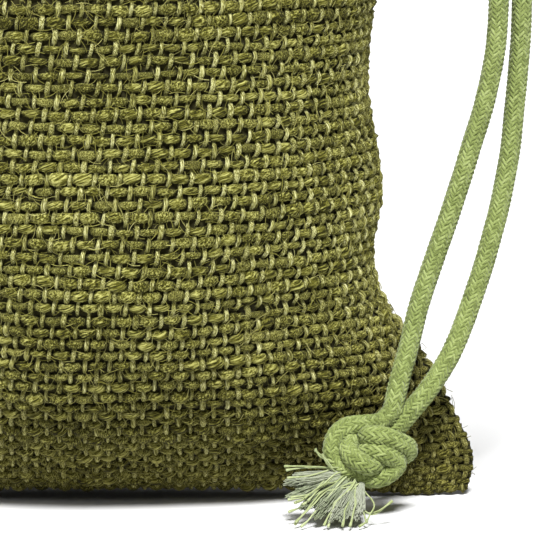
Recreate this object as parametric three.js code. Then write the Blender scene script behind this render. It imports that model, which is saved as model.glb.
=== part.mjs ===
// Fabric gift sack: an open-weave jute bag with a drawstring casing, standing upright, with its mouth open.
// Millimetres, +Z up. The sack rests on Z = 0, its front looks along -Y and the drawstring leaves at +X.
import * as THREE from 'three';

// Driving dimensions
const CLOTH = 1.2;                 // jute cloth thickness
const GAP = 0.3;                   // clearance between neighbouring pieces
const CORD = 3.9;                  // drawstring diameter
const THREAD = 0.7;                // sewing thread diameter
const BELLY_TOP = 158.4;           // upper edge of the two main panels
const CASING_MID = 166.5;          // height of the drawstring in its tunnel
const CASING_HALF_HEIGHT = 7.5;
const CASING_HALF_DEPTH = 3.4;
const TUNNEL_HALF_HEIGHT = 6.2;
const TUNNEL_HALF_DEPTH = 2.3;
const FRILL_BOTTOM = CASING_MID + CASING_HALF_HEIGHT + GAP;
const FRILL_TOP = 208;
const FRILL_HEM = 2;               // two layers of cloth
const FRILL_HEIGHTS = [FRILL_BOTTOM, 190, FRILL_TOP];
const MOUTH_HALF = 30;             // half the width of the part of the mouth that closes
const MOUTH_GAP = 0.4;
const CORD_STOP = 1.4;             // the closing part's cord stops this far inside its ends
const CORD_START = 1.6;            // the fixed cords start this far outside them
const SEAM_ALLOWANCE = 8;
const SEAM_THICKNESS = 1.6;
const CASING_END_Y = 8;            // the tunnels stop this far from the side seams
const STITCH_RISE = 5;             // the rows of sewing above and below the drawstring
const BASE_MARGIN = 4;             // the turned-under base stops this far from the corners
const BOTTOM_SEAM_HALF = 44;       // half the length of the seam along the bottom
const SIDE_SEAM_CLEARANCE = 4 * GAP;

// The bag's outline: at each height, half width, half depth and the power that thins its corners.
const OUTLINE = [
  { z: 0, width: 73.6, depth: 5, power: 3 },
  { z: 8, width: 75, depth: 15.5, power: 2.6 },
  { z: 16, width: 71.8, depth: 24, power: 2.2 },
  { z: 27, width: 66, depth: 31.5, power: 1.6 },
  { z: 40, width: 56.4, depth: 37, power: 1.15 },
  { z: 50, width: 53.9, depth: 39.3, power: 1 },
  { z: 62, width: 55.6, depth: 40, power: 1 },
  { z: 84, width: 52.8, depth: 40, power: 1 },
  { z: 110, width: 55, depth: 38.5, power: 1 },
  { z: 150, width: 57, depth: 30.5, power: 1 },
  { z: CASING_MID, width: 58, depth: 28, power: 1 },
  { z: FRILL_TOP, width: 61, depth: 31, power: 1 },
];

// Smooth value of one outline column at height z.
function outlineAt(z, column) {
  const last = OUTLINE.length - 1;
  let i = 0;
  while (i < last - 1 && z > OUTLINE[i + 1].z) i += 1;
  const a = OUTLINE[i];
  const b = OUTLINE[i + 1];
  const before = OUTLINE[Math.max(i - 1, 0)];
  const after = OUTLINE[Math.min(i + 2, last)];
  const span = b.z - a.z;
  const t = (z - a.z) / span;
  const slopeA = (b[column] - before[column]) / (b.z - before.z) * span;
  const slopeB = (after[column] - a[column]) / (after.z - a.z) * span;
  const rise = b[column] - a[column];
  return a[column] + t * (slopeA + t * (3 * rise - 2 * slopeA - slopeB + t * (slopeA + slopeB - 2 * rise)));
}

// A point on the outline: turn 0 is the left side seam, PI the right one; face is -1 in front, +1 behind.
function outlinePoint(z, turn, face, inset = 0) {
  const width = outlineAt(z, 'width');
  const depth = outlineAt(z, 'depth');
  const bow = Math.sin(turn) ** outlineAt(z, 'power');
  const wall = CLOTH * (1 - (1 - Math.sin(turn)) ** 4);
  const skin = wall * (1 - inset / CLOTH);
  const x = -(width - inset) * Math.cos(turn);
  return new THREE.Vector3(x, face * (GAP / 2 + (depth - CLOTH) * bow + skin), z);
}

const material = (color, roughness) => new THREE.MeshStandardMaterial({ color, roughness, metalness: 0 });
const JUTE = material(0x77743a, 0.95);
const JUTE_EDGE = material(0x5f5c28, 0.95);
const COTTON = material(0x9dab66, 0.85);
const FRAY = material(0xb9c496, 0.9);
const SEWING = material(0x4d4b22, 0.8);

function node(name, geometry, finish) {
  const mesh = new THREE.Mesh(geometry, finish);
  mesh.name = name;
  return mesh;
}

// Geometry from shared vertices and triangles, turned so that its faces point outwards.
function solid(points, triangles) {
  let volume = 0;
  for (const [a, b, c] of triangles) {
    volume += points[a].dot(new THREE.Vector3().crossVectors(points[b], points[c]));
  }
  const outward = volume > 0 ? triangles : triangles.map(([a, b, c]) => [a, c, b]);
  const geometry = new THREE.BufferGeometry().setFromPoints(points);
  geometry.setIndex(outward.flat());
  geometry.computeVertexNormals();
  return geometry;
}

// A curved plate from a grid of outer points and the matching grid of inner points.
function plate(outer, inner) {
  const rows = outer.length;
  const columns = outer[0].length;
  const points = [...outer.flat(), ...inner.flat()];
  const triangles = [];
  const at = (layer, r, c) => layer * rows * columns + r * columns + c;
  const quad = (a, b, c, d) => triangles.push([a, b, c], [a, c, d]);
  for (let r = 0; r < rows - 1; r += 1) {
    for (let c = 0; c < columns - 1; c += 1) {
      quad(at(0, r, c), at(0, r, c + 1), at(0, r + 1, c + 1), at(0, r + 1, c));
      quad(at(1, r, c), at(1, r + 1, c), at(1, r + 1, c + 1), at(1, r, c + 1));
    }
    quad(at(0, r, 0), at(0, r + 1, 0), at(1, r + 1, 0), at(1, r, 0));
    quad(at(0, r, columns - 1), at(1, r, columns - 1), at(1, r + 1, columns - 1), at(0, r + 1, columns - 1));
  }
  for (let c = 0; c < columns - 1; c += 1) {
    quad(at(0, 0, c), at(1, 0, c), at(1, 0, c + 1), at(0, 0, c + 1));
    quad(at(0, rows - 1, c), at(0, rows - 1, c + 1), at(1, rows - 1, c + 1), at(1, rows - 1, c));
  }
  return solid(points, triangles);
}

// A tube with a bore, from a list of stations that each hold an outer and an inner loop of points.
function boredTube(stations) {
  const sides = stations[0].outer.length;
  const points = stations.flatMap((s) => [...s.outer, ...s.inner]);
  const triangles = [];
  const at = (station, layer, i) => station * sides * 2 + layer * sides + (i % sides);
  const quad = (a, b, c, d) => triangles.push([a, b, c], [a, c, d]);
  for (let i = 0; i < sides; i += 1) {
    for (let s = 0; s < stations.length - 1; s += 1) {
      quad(at(s, 0, i), at(s, 0, i + 1), at(s + 1, 0, i + 1), at(s + 1, 0, i));
      quad(at(s, 1, i), at(s + 1, 1, i), at(s + 1, 1, i + 1), at(s, 1, i + 1));
    }
    const end = stations.length - 1;
    quad(at(0, 0, i), at(0, 1, i), at(0, 1, i + 1), at(0, 0, i + 1));
    quad(at(end, 0, i), at(end, 0, i + 1), at(end, 1, i + 1), at(end, 1, i));
  }
  return solid(points, triangles);
}

// A round solid along a smooth curve through the points.
function round(points, diameter, steps, sides = 8) {
  const circle = new THREE.Shape();
  for (let i = 0; i < sides; i += 1) {
    const angle = (i / sides) * 2 * Math.PI;
    const x = Math.cos(angle) * diameter / 2;
    const y = Math.sin(angle) * diameter / 2;
    if (i === 0) circle.moveTo(x, y);
    else circle.lineTo(x, y);
  }
  circle.closePath();
  const extrudePath = new THREE.CatmullRomCurve3(points, false, 'centripetal');
  return new THREE.ExtrudeGeometry(circle, { steps, extrudePath, curveSegments: 1 });
}

const spread = (from, to, count) => Array.from({ length: count + 1 }, (_, i) => from + (to - from) * i / count);

// Main panels: one shaped piece of cloth in front and one behind, open at the top.
function panel(face) {
  const heights = [0, 4, 8, 12, 16, 21.5, 27, 33.5, 40, 50, 62, 73, 84, 110, 135, BELLY_TOP];
  const turns = spread(0, Math.PI, 20);
  const grid = (inset) => heights.map((z) => turns.map((turn) => outlinePoint(z, turn, face, inset)));
  return plate(grid(0), grid(CLOTH));
}

// The turned-under base: a flat lens of cloth inside the panels' lower edges.
function base() {
  const turns = spread(0, Math.PI, 20);
  const edge = (face, z) => turns.map((turn) => {
    const p = outlinePoint(0, turn, face, CLOTH);
    const x = p.x * (1 - BASE_MARGIN / outlineAt(0, 'width'));
    return new THREE.Vector3(x, face * Math.max(Math.abs(p.y) - GAP, GAP / 2), z);
  });
  return plate([edge(-1, 0), edge(1, 0)], [edge(-1, CLOTH), edge(1, CLOTH)]);
}

// The seam allowance that stands up inside the bag along its bottom.
function bottomSeam() {
  const wall = new THREE.BoxGeometry(2 * BOTTOM_SEAM_HALF, SEAM_THICKNESS, SEAM_ALLOWANCE);
  wall.translate(0, 0, CLOTH + GAP + SEAM_ALLOWANCE / 2);
  return wall;
}

function bottomSeamThread() {
  const half = BOTTOM_SEAM_HALF - THREAD;
  const y = SEAM_THICKNESS / 2 + THREAD;
  const z = CLOTH + GAP + THREAD;
  return round([new THREE.Vector3(-half, y, z), new THREE.Vector3(0, y, z), new THREE.Vector3(half, y, z)],
    THREAD, 6, 6);
}

const SEAM_HEIGHTS = [33, 40, 50, 62, 73, 84, 110, 135, 156];

// The seam allowance turned inside along one side seam.
function sideSeam(side) {
  const edge = (z, deep, y) => {
    const x = outlineAt(z, 'width') - CLOTH - SIDE_SEAM_CLEARANCE - (deep ? SEAM_ALLOWANCE : 0);
    return new THREE.Vector3(side * x, y, z);
  };
  const grid = (y) => SEAM_HEIGHTS.map((z) => [edge(z, false, y), edge(z, true, y)]);
  return plate(grid(-SEAM_THICKNESS / 2), grid(SEAM_THICKNESS / 2));
}

function sideSeamThread(side) {
  const points = SEAM_HEIGHTS.map((z) => new THREE.Vector3(
    side * (outlineAt(z, 'width') - CLOTH - SEAM_ALLOWANCE / 2), SEAM_THICKNESS / 2 + THREAD, z));
  return round(points, THREAD, 16, 6);
}

// Turns of the outline from one place across the front, x = from, to another, x = to.
function turnsAcross(z, from, to, count) {
  const width = outlineAt(z, 'width');
  const first = Math.acos(-from / width);
  const last = Math.acos(-to / width);
  return spread(first, last, count);
}

// The outward direction at a turn; near the closing part of the mouth it is straight along Y.
function outwardAt(z, turn, face, square) {
  const x = -Math.cos(turn) / outlineAt(z, 'width');
  const y = face * Math.sin(turn) / outlineAt(z, 'depth');
  return new THREE.Vector3(x, y, 0).normalize().lerp(new THREE.Vector3(0, face, 0), square).normalize();
}

const CASING_SIDES = 10;

// One loop of the casing's section: a flattened round, taller than it is deep.
function casingLoop(centre, outward, halfDepth, halfHeight) {
  return spread(0, 2 * Math.PI, CASING_SIDES).slice(0, CASING_SIDES).map((angle) => {
    const square = (value) => Math.sign(value) * Math.abs(value) ** 0.7;
    return centre.clone()
      .addScaledVector(outward, square(Math.cos(angle)) * halfDepth)
      .add(new THREE.Vector3(0, 0, square(Math.sin(angle)) * halfHeight));
  });
}

function casing(face, turns, squareAt) {
  return boredTube(turns.map((turn, i) => {
    const outward = outwardAt(CASING_MID, turn, face, squareAt(i / (turns.length - 1)));
    const centre = outlinePoint(CASING_MID, turn, face);
    return {
      outer: casingLoop(centre, outward, CASING_HALF_DEPTH, CASING_HALF_HEIGHT),
      inner: casingLoop(centre, outward, TUNNEL_HALF_DEPTH, TUNNEL_HALF_HEIGHT),
    };
  }));
}

// Points of the drawstring along its tunnel, between two places across the bag.
function tunnelRoute(face, from, to, count) {
  return turnsAcross(CASING_MID, from, to, count).map((turn) => outlinePoint(CASING_MID, turn, face));
}

// A row of sewing that closes the tunnel, on the outside of the casing.
function stitchRow(face, rise) {
  const points = turnsAcross(CASING_MID, -MOUTH_HALF + 1, MOUTH_HALF - 1, 8).map((turn) => {
    const p = outlinePoint(CASING_MID, turn, face);
    return p.addScaledVector(outwardAt(CASING_MID, turn, face, 1), CASING_HALF_DEPTH + THREAD)
      .add(new THREE.Vector3(0, 0, rise));
  });
  return round(points, THREAD, 16, 6);
}

// Where a side piece's tunnel stops, as a distance across from the middle.
const CASING_END_X = outlineAt(CASING_MID, 'width')
  * Math.sqrt(1 - (CASING_END_Y / outlineAt(CASING_MID, 'depth')) ** 2);

// On a side piece the section turns from straight along Y, at the closing part, to square with the cloth.
const easeFromMouth = (t) => Math.max(0, 1 - 3 * t);

// A side frill starts on the plane x = near at every height and runs to the side seam.
function frillSide(face, side, near) {
  const steps = 8;
  const seamTurn = side < 0 ? 0 : Math.PI;
  const grid = (inset) => FRILL_HEIGHTS.map((z) => {
    const first = turnsAcross(z, near, near, 1)[0];
    return spread(first, seamTurn, steps).map((turn, i) => {
      const push = i === steps ? new THREE.Vector3(-side, 0, 0)
        : outwardAt(z, turn, face, easeFromMouth(i / steps)).negate();
      return outlinePoint(z, turn, face).addScaledVector(push, inset);
    });
  });
  return plate(grid(0), grid(FRILL_HEM));
}

// The fixed shoulders of the mouth: casing and frill, on each side of the closing part.
function sidePieces(face, side) {
  const label = `${face < 0 ? 'front' : 'back'}_${side < 0 ? 'left' : 'right'}`;
  const near = side * (MOUTH_HALF + MOUTH_GAP);
  const casingTurns = turnsAcross(CASING_MID, near, side * CASING_END_X, 6);
  return [
    node(`casing_${label}`, casing(face, casingTurns, easeFromMouth), JUTE),
    node(`frill_${label}`, frillSide(face, side, near), JUTE),
  ];
}

// The closing part of the mouth, front or back: casing, frill, drawstring and two rows of sewing.
function mouthPieces(face) {
  const label = face < 0 ? 'front' : 'back';
  const group = new THREE.Group();
  const straight = () => 1;
  const casingTurns = turnsAcross(CASING_MID, -MOUTH_HALF, MOUTH_HALF, 10);
  const frillGrid = (inset) => FRILL_HEIGHTS.map((z) => {
    return turnsAcross(z, -MOUTH_HALF, MOUTH_HALF, 10).map((turn) => {
      return outlinePoint(z, turn, face).add(new THREE.Vector3(0, -face * inset, 0));
    });
  });
  const cordHalf = MOUTH_HALF - CORD_STOP;
  group.add(node(`casing_${label}`, casing(face, casingTurns, straight), JUTE));
  group.add(node(`frill_${label}`, plate(frillGrid(0), frillGrid(FRILL_HEM)), JUTE));
  group.add(node(`cord_${label}`, round(tunnelRoute(face, -cordHalf, cordHalf, 10), CORD, 14), COTTON));
  group.add(node(`stitches_${label}_lower`, stitchRow(face, -STITCH_RISE), SEWING));
  group.add(node(`stitches_${label}_upper`, stitchRow(face, STITCH_RISE), SEWING));
  return group;
}

// The drawstring's fixed stretches: round the left side, and out to the right side seam.
function cordLeftBend() {
  const near = -(MOUTH_HALF + CORD_START);
  const far = -outlineAt(CASING_MID, 'width');
  const front = tunnelRoute(-1, near, far, 8);
  const back = tunnelRoute(1, near, far, 8).reverse();
  return round([...front.slice(0, -1), new THREE.Vector3(far, 0, CASING_MID), ...back.slice(1)], CORD, 34);
}

const EXIT = { x: 61.5, y: 3.4 };     // where each end of the drawstring leaves the side seam

function cordLead(face) {
  const route = tunnelRoute(face, MOUTH_HALF + CORD_START, CASING_END_X, 6);
  const turnOut = [[57.6, 5], [59.6, EXIT.y + 0.3], [EXIT.x, EXIT.y]];
  const end = turnOut.map(([x, y]) => new THREE.Vector3(x, face * y, CASING_MID));
  return round([...route, ...end], CORD, 18);
}

// The two free ends of the drawstring, from the side seam down to the knot in front of the corner.
const RUN_FRONT = [
  [62, -3.3, 166.5], [65.6, -3.2, 165.4], [70.4, -3.2, 161], [74.2, -3.2, 153.5], [77, -3.2, 143],
  [78.8, -3.1, 130], [79.6, -3, 116], [79.5, -3, 102], [78.9, -3.2, 91], [76.9, -3.8, 80.6],
  [73.9, -4.4, 70.5], [70.8, -5.2, 60.5], [67.4, -6.8, 50.7], [64, -9, 40.9], [61.4, -12, 31.2],
  [59.9, -14.2, 26.2], [58.6, -16.6, 21.2],
];
const RUN_BACK = [
  [62, 3.3, 166.5], [66.5, 3.2, 166.6], [72, 3, 164.4], [77, 2.6, 157.5], [80.8, 2.2, 147],
  [83.2, 1.8, 133], [84.4, 1.4, 117], [84.3, 1, 102], [83.9, 0.7, 90.4], [83, 0.2, 80],
  [82, -0.6, 70], [80.2, -1.8, 60.2], [77.6, -3.6, 50.3], [74.4, -6, 40.6], [70.4, -9.6, 31],
  [67.4, -12.2, 26.4], [64.2, -14.8, 22.4],
];
const KNOT = { centre: [53.8, -20.5, 12.6], half: [9.8, 6.8, 6.8], lean: -8 };

function knot() {
  const ball = new THREE.SphereGeometry(1, 16, 10);
  ball.scale(...KNOT.half);
  ball.rotateY(THREE.MathUtils.degToRad(KNOT.lean));
  ball.translate(...KNOT.centre);
  return ball;
}

// A frayed cord end: a soft brush that widens from the knot towards its tip.
function frayedEnd(from, to, rootRadius, tipRadius) {
  const start = new THREE.Vector3(...from);
  const way = new THREE.Vector3(...to).sub(start);
  const length = way.length();
  const profile = [[0, 0], [rootRadius, 0], [tipRadius, length * 0.7], [tipRadius * 0.7, length], [0, length]];
  const brush = new THREE.LatheGeometry(profile.map(([r, h]) => new THREE.Vector2(r, h)), 12);
  brush.applyQuaternion(new THREE.Quaternion().setFromUnitVectors(
    new THREE.Vector3(0, 1, 0), way.normalize()));
  brush.translate(start.x, start.y, start.z);
  return brush;
}

function drawstringPull() {
  const route = (points) => points.map((p) => new THREE.Vector3(...p));
  const group = new THREE.Group();
  group.add(node('cord_run_front', round(route(RUN_FRONT), CORD, 40), COTTON));
  group.add(node('cord_run_back', round(route(RUN_BACK), CORD, 40), COTTON));
  group.add(node('knot', knot(), COTTON));
  group.add(node('frayed_end_left', frayedEnd([45.2, -24.6, 8], [38.4, -28.6, 5.4], 2, 4), FRAY));
  group.add(node('frayed_end_front', frayedEnd([51.6, -27.4, 6], [49.4, -35.6, 4.2], 2, 3.8), FRAY));
  return group;
}

const sack = new THREE.Group();
sack.add(node('front_panel', panel(-1), JUTE));
sack.add(node('back_panel', panel(1), JUTE));
sack.add(node('base_fold', base(), JUTE_EDGE));
sack.add(node('bottom_seam', bottomSeam(), JUTE_EDGE));
sack.add(node('bottom_seam_thread', bottomSeamThread(), SEWING));
for (const side of [-1, 1]) {
  const label = side < 0 ? 'left' : 'right';
  sack.add(node(`${label}_side_seam`, sideSeam(side), JUTE_EDGE));
  sack.add(node(`${label}_seam_thread`, sideSeamThread(side), SEWING));
  for (const face of [-1, 1]) sack.add(...sidePieces(face, side));
}
sack.add(node('cord_left_bend', cordLeftBend(), COTTON));
sack.add(node('cord_lead_front', cordLead(-1), COTTON));
sack.add(node('cord_lead_back', cordLead(1), COTTON));
sack.add(mouthPieces(-1), mouthPieces(1), drawstringPull());

export default sack;
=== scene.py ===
"""Fabric gift sack: woven jute bag, braided cotton drawstring, knot and frayed ends, in metres."""
import math
import bpy
import numpy as np
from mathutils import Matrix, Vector


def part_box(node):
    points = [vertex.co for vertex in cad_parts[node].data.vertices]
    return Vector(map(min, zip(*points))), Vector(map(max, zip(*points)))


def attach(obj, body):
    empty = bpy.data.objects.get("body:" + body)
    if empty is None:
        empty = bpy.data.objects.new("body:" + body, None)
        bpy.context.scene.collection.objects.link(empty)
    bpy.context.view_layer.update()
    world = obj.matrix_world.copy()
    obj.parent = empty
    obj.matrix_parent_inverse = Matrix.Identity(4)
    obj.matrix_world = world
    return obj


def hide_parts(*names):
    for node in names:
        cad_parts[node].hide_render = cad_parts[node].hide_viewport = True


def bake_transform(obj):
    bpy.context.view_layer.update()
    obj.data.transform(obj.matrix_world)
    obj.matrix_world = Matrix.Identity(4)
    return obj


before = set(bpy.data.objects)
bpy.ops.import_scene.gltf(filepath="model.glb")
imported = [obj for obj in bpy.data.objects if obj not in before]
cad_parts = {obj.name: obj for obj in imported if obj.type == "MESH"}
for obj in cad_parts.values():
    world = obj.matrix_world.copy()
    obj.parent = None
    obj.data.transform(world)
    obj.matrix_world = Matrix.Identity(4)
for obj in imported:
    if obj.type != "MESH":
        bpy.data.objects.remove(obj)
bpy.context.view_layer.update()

MM = 0.001
CORD = 3.9 * MM                # diameter of the drawstring
WARP_PITCH = 2.3 * MM          # between two upright yarns
WEFT_PITCH = 2.5 * MM          # between two level yarns
CLOTH_WIDTH = 150 * MM
STEPS = 4                      # samples of a yarn between two crossings
SACK, PULL = "sack", "drawstring_pull"


# ---- camera, light and floor

CAMERA_TILT = math.radians(9)  # how far the camera looks down
CAMERA_AWAY = 1.0              # its distance from its target, m
CAMERA_TARGET = (0.0352, 0, 0.0447)
VIEW_WIDTH = 0.110             # width of the view at the target, m
SENSOR = 36
WORLD_LIGHT = 0.1
SUN_POWER = 6.6
SUN_ANGLE = math.radians(16)   # how wide the sun looks, which softens its shadows
SUN_WAY = (-0.06, 0.75, -1)
# Each soft light's place, size and power; both look at LIT_POINT.
SOFT_LIGHTS = {"fill": ((-0.6, -0.7, 0.7), 0.5, 2.7), "back": ((0.3, 1.0, 0.8), 0.6, 1.2)}
LIT_POINT = (0, 0, 0.1)
FLOOR_SIZE = 12
FLOOR_TONE = 0.75


def make_camera():
    camera = bpy.data.objects.new("camera", bpy.data.cameras.new("camera"))
    camera.data.sensor_width = SENSOR
    camera.data.lens = SENSOR * CAMERA_AWAY / VIEW_WIDTH
    away = Vector((0, -math.cos(CAMERA_TILT), math.sin(CAMERA_TILT)))
    camera.location = Vector(CAMERA_TARGET) + away * CAMERA_AWAY
    camera.rotation_euler = (math.pi / 2 - CAMERA_TILT, 0, 0)
    bpy.context.collection.objects.link(camera)
    bpy.context.scene.camera = camera


def add_light(name, kind, power, way, place=(0, 0, 0)):
    light = bpy.data.lights.new(name, kind)
    light.energy = power
    lamp = bpy.data.objects.new(name, light)
    lamp.location = place
    lamp.rotation_euler = Vector(way).to_track_quat("-Z", "Y").to_euler()
    bpy.context.collection.objects.link(lamp)
    return light


def make_studio():
    world = bpy.data.worlds.new("studio")
    world.use_nodes = True
    world.node_tree.nodes["Background"].inputs["Color"].default_value = (1, 1, 1, 1)
    world.node_tree.nodes["Background"].inputs["Strength"].default_value = WORLD_LIGHT
    bpy.context.scene.world = world
    bpy.context.scene.view_settings.view_transform = "Standard"
    bpy.context.scene.view_settings.look = "None"
    add_light("key", "SUN", SUN_POWER, SUN_WAY).angle = SUN_ANGLE
    for name, (place, size, power) in SOFT_LIGHTS.items():
        add_light(name, "AREA", power, Vector(LIT_POINT) - Vector(place), place).size = size
    floor_finish = bpy.data.materials.new("floor")
    floor_finish.use_nodes = True
    shader = floor_finish.node_tree.nodes["Principled BSDF"]
    shader.inputs["Base Color"].default_value = (FLOOR_TONE, FLOOR_TONE, FLOOR_TONE, 1)
    shader.inputs["Roughness"].default_value = 0.9
    bpy.ops.mesh.primitive_plane_add(size=FLOOR_SIZE)
    floor = bpy.context.object
    floor.name = "floor"
    floor.data.materials.append(floor_finish)


# ---- materials

def wired(tree, kind, inputs, **settings):
    """Add a node with its settings, and with its inputs linked or set."""
    node = tree.nodes.new(kind)
    for key, value in settings.items():
        setattr(node, key, value)
    for key, value in inputs.items():
        if isinstance(value, bpy.types.NodeSocket):
            tree.links.new(value, node.inputs[key])
        else:
            node.inputs[key].default_value = value
    return node


class Nodes:
    """Short calls that add and link shader nodes."""

    def __init__(self, name, roughness, sheen, shine=0.25):
        self.material = bpy.data.materials.new(name)
        self.material.use_nodes = True
        self.tree = self.material.node_tree
        self.shader = self.tree.nodes["Principled BSDF"]
        values = {"Roughness": roughness, "Specular IOR Level": shine, "Sheen Weight": sheen,
                  "Sheen Roughness": 0.5}
        for key, value in values.items():
            self.shader.inputs[key].default_value = value

    def add(self, kind, inputs, output, **settings):
        return wired(self.tree, kind, inputs, **settings).outputs[output]

    def attribute(self, name, output="Fac"):
        return self.add("ShaderNodeAttribute", {}, output, attribute_name=name)

    def object_place(self):
        return self.add("ShaderNodeTexCoord", {}, "Object")

    def math(self, operation, a, b):
        return self.add("ShaderNodeMath", {0: a, 1: b}, 0, operation=operation)

    def noise(self, vector, scale, detail=3, roughness=0.6):
        inputs = {"Vector": vector, "Scale": scale, "Detail": detail, "Roughness": roughness}
        return self.add("ShaderNodeTexNoise", inputs, "Fac")

    def ramp(self, factor, *stops):
        node = wired(self.tree, "ShaderNodeValToRGB", {"Fac": factor})
        while len(node.color_ramp.elements) < len(stops):
            node.color_ramp.elements.new(0.5)
        for element, (place, colour) in zip(node.color_ramp.elements, stops):
            element.position = place
            element.color = (*colour, 1)
        return node.outputs["Color"]

    def tint(self, colour, factor):
        inputs = {"Factor": 1, "A": colour, "B": factor}
        return self.add("ShaderNodeMix", inputs, "Result", data_type="RGBA", blend_type="MULTIPLY")

    def finished(self, colour, height, depth):
        """The material with its colour and its bumps."""
        bump = self.add("ShaderNodeBump", {"Distance": depth, "Height": height}, "Normal")
        self.tree.links.new(colour, self.shader.inputs["Base Color"])
        self.tree.links.new(bump, self.shader.inputs["Normal"])
        return self.material


WHITE = (1.0, 1.0, 1.0)
TONE_SHARE = 0.22              # how much a yarn's own tone counts in its colour
PATCH_SHARE = 0.26             # and how much the broad patches do
PAINTED_LOW_SHADE = (0.6, 0.57, 0.48)     # painted shade: tint that darkens the cloth at the floor
PAINTED_LOW_SHADE_HEIGHT = 0.045          # height at which that painted shade has faded out, m
TONE_SHIFT = 37.0              # keeps the streaks of two yarns apart


def twisted(nodes, turns_per_metre, stretch):
    """Coordinates that follow a yarn's twist: round the yarn, and slowly along it."""
    along = nodes.attribute("along")
    turn = nodes.math("MULTIPLY", along, turns_per_metre * 2 * math.pi)
    around = {"Vector": nodes.attribute("around", "Vector"), "Angle": turn}
    spin = nodes.add("ShaderNodeVectorRotate", around, "Vector", rotation_type="Z_AXIS")
    apart = wired(nodes.tree, "ShaderNodeSeparateXYZ", {"Vector": spin}).outputs
    shift = nodes.math("MULTIPLY", nodes.attribute("tone"), TONE_SHIFT)
    slide = nodes.math("ADD", nodes.math("MULTIPLY", along, stretch), shift)
    return nodes.add("ShaderNodeCombineXYZ", {"X": apart["X"], "Y": apart["Y"], "Z": slide}, "Vector")


def yarn_finish(name, dark, middle, pale, painted_dip_shade, contrast, twist, stretch, streaks, relief, sheen, shine,
                painted_low_shade=False):
    """Spun yarn: fibre streaks along the twist, its own tone, pale crowns over painted shade in the dips,
    and painted shade near the floor.
    """
    nodes = Nodes(name, 0.85, sheen, shine)
    fibres = nodes.noise(twisted(nodes, twist, stretch), streaks, 4, 0.65)
    place = nodes.object_place()
    patches = nodes.noise(place, 60)
    tone = nodes.math("MULTIPLY", nodes.attribute("tone"), TONE_SHARE)
    mixed = nodes.math("ADD", nodes.math("MULTIPLY", fibres, contrast), tone)
    mixed = nodes.math("ADD", mixed, nodes.math("MULTIPLY", patches, PATCH_SHARE))
    mixed = nodes.math("SUBTRACT", mixed, 0.5 * contrast - TONE_SHARE)
    spun = nodes.ramp(mixed, (0.26, dark), (0.5, middle), (0.8, pale))
    # Painted shade: the colour darkens from a yarn's crown down to its dips under the crossing yarns.
    slope = tuple(0.75 * value + 0.25 for value in painted_dip_shade)
    crown = nodes.attribute("crown")
    spun = nodes.tint(spun, nodes.ramp(crown, (0.0, painted_dip_shade), (0.27, slope), (0.6, WHITE)))
    # Painted shade: the colour gets darker towards the floor and fades out at the given height.
    if painted_low_shade:
        height = nodes.add("ShaderNodeSeparateXYZ", {"Vector": place}, "Z")
        height = nodes.math("MULTIPLY", height, 0.9 / PAINTED_LOW_SHADE_HEIGHT)
        spun = nodes.tint(spun, nodes.ramp(height, (0.0, PAINTED_LOW_SHADE), (0.9, WHITE)))
    return nodes.finished(spun, fibres, relief)


def gap_shade_finish(name, base, pale):
    """Painted shade seen through the cloth's gaps: a fine dark grain on object coordinates."""
    nodes = Nodes(name, 0.95, 0.05)
    grain = nodes.noise(nodes.object_place(), 900, 4)
    return nodes.finished(nodes.ramp(grain, (0.35, base), (0.7, pale)), grain, 0.0003)


# Painted shade: both finishes darken a yarn in its dips under the crossing yarns, and the jute also darkens
# towards the floor.
JUTE = dict(painted_dip_shade=(0.1, 0.1, 0.06), contrast=2.1, twist=95, stretch=420, streaks=3.0, relief=0.0006,
            sheen=0.02, shine=0.1, painted_low_shade=True)
COTTON = dict(painted_dip_shade=(0.6, 0.63, 0.5), contrast=1.4, twist=120, stretch=500, streaks=1.6, relief=0.0001,
              sheen=0.15, shine=0.2)
# What each yarn is made of, and its dark, middle and pale colours.
YARNS = {
    "warp": ("jute warp", JUTE, (0.06, 0.056, 0.008), (0.34, 0.33, 0.085), (0.9, 0.89, 0.47)),
    "weft": ("jute weft", JUTE, (0.016, 0.015, 0.001), (0.12, 0.114, 0.015), (0.47, 0.46, 0.145)),
    "fuzz": ("jute fibre", JUTE, (0.1, 0.095, 0.015), (0.25, 0.237, 0.05), (0.52, 0.5, 0.2)),
    "cord": ("braided cotton", COTTON, (0.095, 0.12, 0.028), (0.195, 0.24, 0.07), (0.31, 0.36, 0.15)),
    "strand": ("cotton strand", COTTON, (0.2, 0.24, 0.09), (0.31, 0.355, 0.165), (0.44, 0.48, 0.29)),
    "core": ("cotton core", COTTON, (0.13, 0.165, 0.075), (0.25, 0.28, 0.18), (0.45, 0.46, 0.38)),
    "thread": ("sewing thread", JUTE, (0.03, 0.026, 0.007), (0.07, 0.065, 0.02), (0.12, 0.11, 0.045)),
}


def make_finishes():
    finishes = {key: yarn_finish(name, *colours, **kind) for key, (name, kind, *colours) in YARNS.items()}
    # Painted shade: a near-black finish for the sheet behind the cloth's gaps.
    finishes["gap_shade"] = gap_shade_finish("jute ground", (0.01, 0.009, 0.001), (0.03, 0.027, 0.005))
    return finishes


# ---- strands: tubes along paths

def new_tree(name, *inputs):
    """A node tree that takes geometry, the inputs and a material, and what it is given."""
    tree = bpy.data.node_groups.new(name, "GeometryNodeTree")
    for label, kind in (("Geometry", "Geometry"), *inputs, ("Material", "Material")):
        tree.interface.new_socket(label, in_out="INPUT", socket_type="NodeSocket" + kind)
    tree.interface.new_socket("Geometry", in_out="OUTPUT", socket_type="NodeSocketGeometry")
    return tree, tree.nodes.new("NodeGroupInput").outputs


def stored(tree, name, geometry, value, **settings):
    """Keep a value on the geometry under a name, where the materials find it."""
    inputs = {"Name": name, "Geometry": geometry, "Value": value}
    return wired(tree, "GeometryNodeStoreNamedAttribute", inputs, **settings).outputs["Geometry"]


def swept(tree, curve, profile, **more):
    """A closed tube along a curve."""
    inputs = {"Fill Caps": True, "Curve": curve, "Profile Curve": profile, **more}
    return wired(tree, "GeometryNodeCurveToMesh", inputs).outputs["Mesh"]


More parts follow.
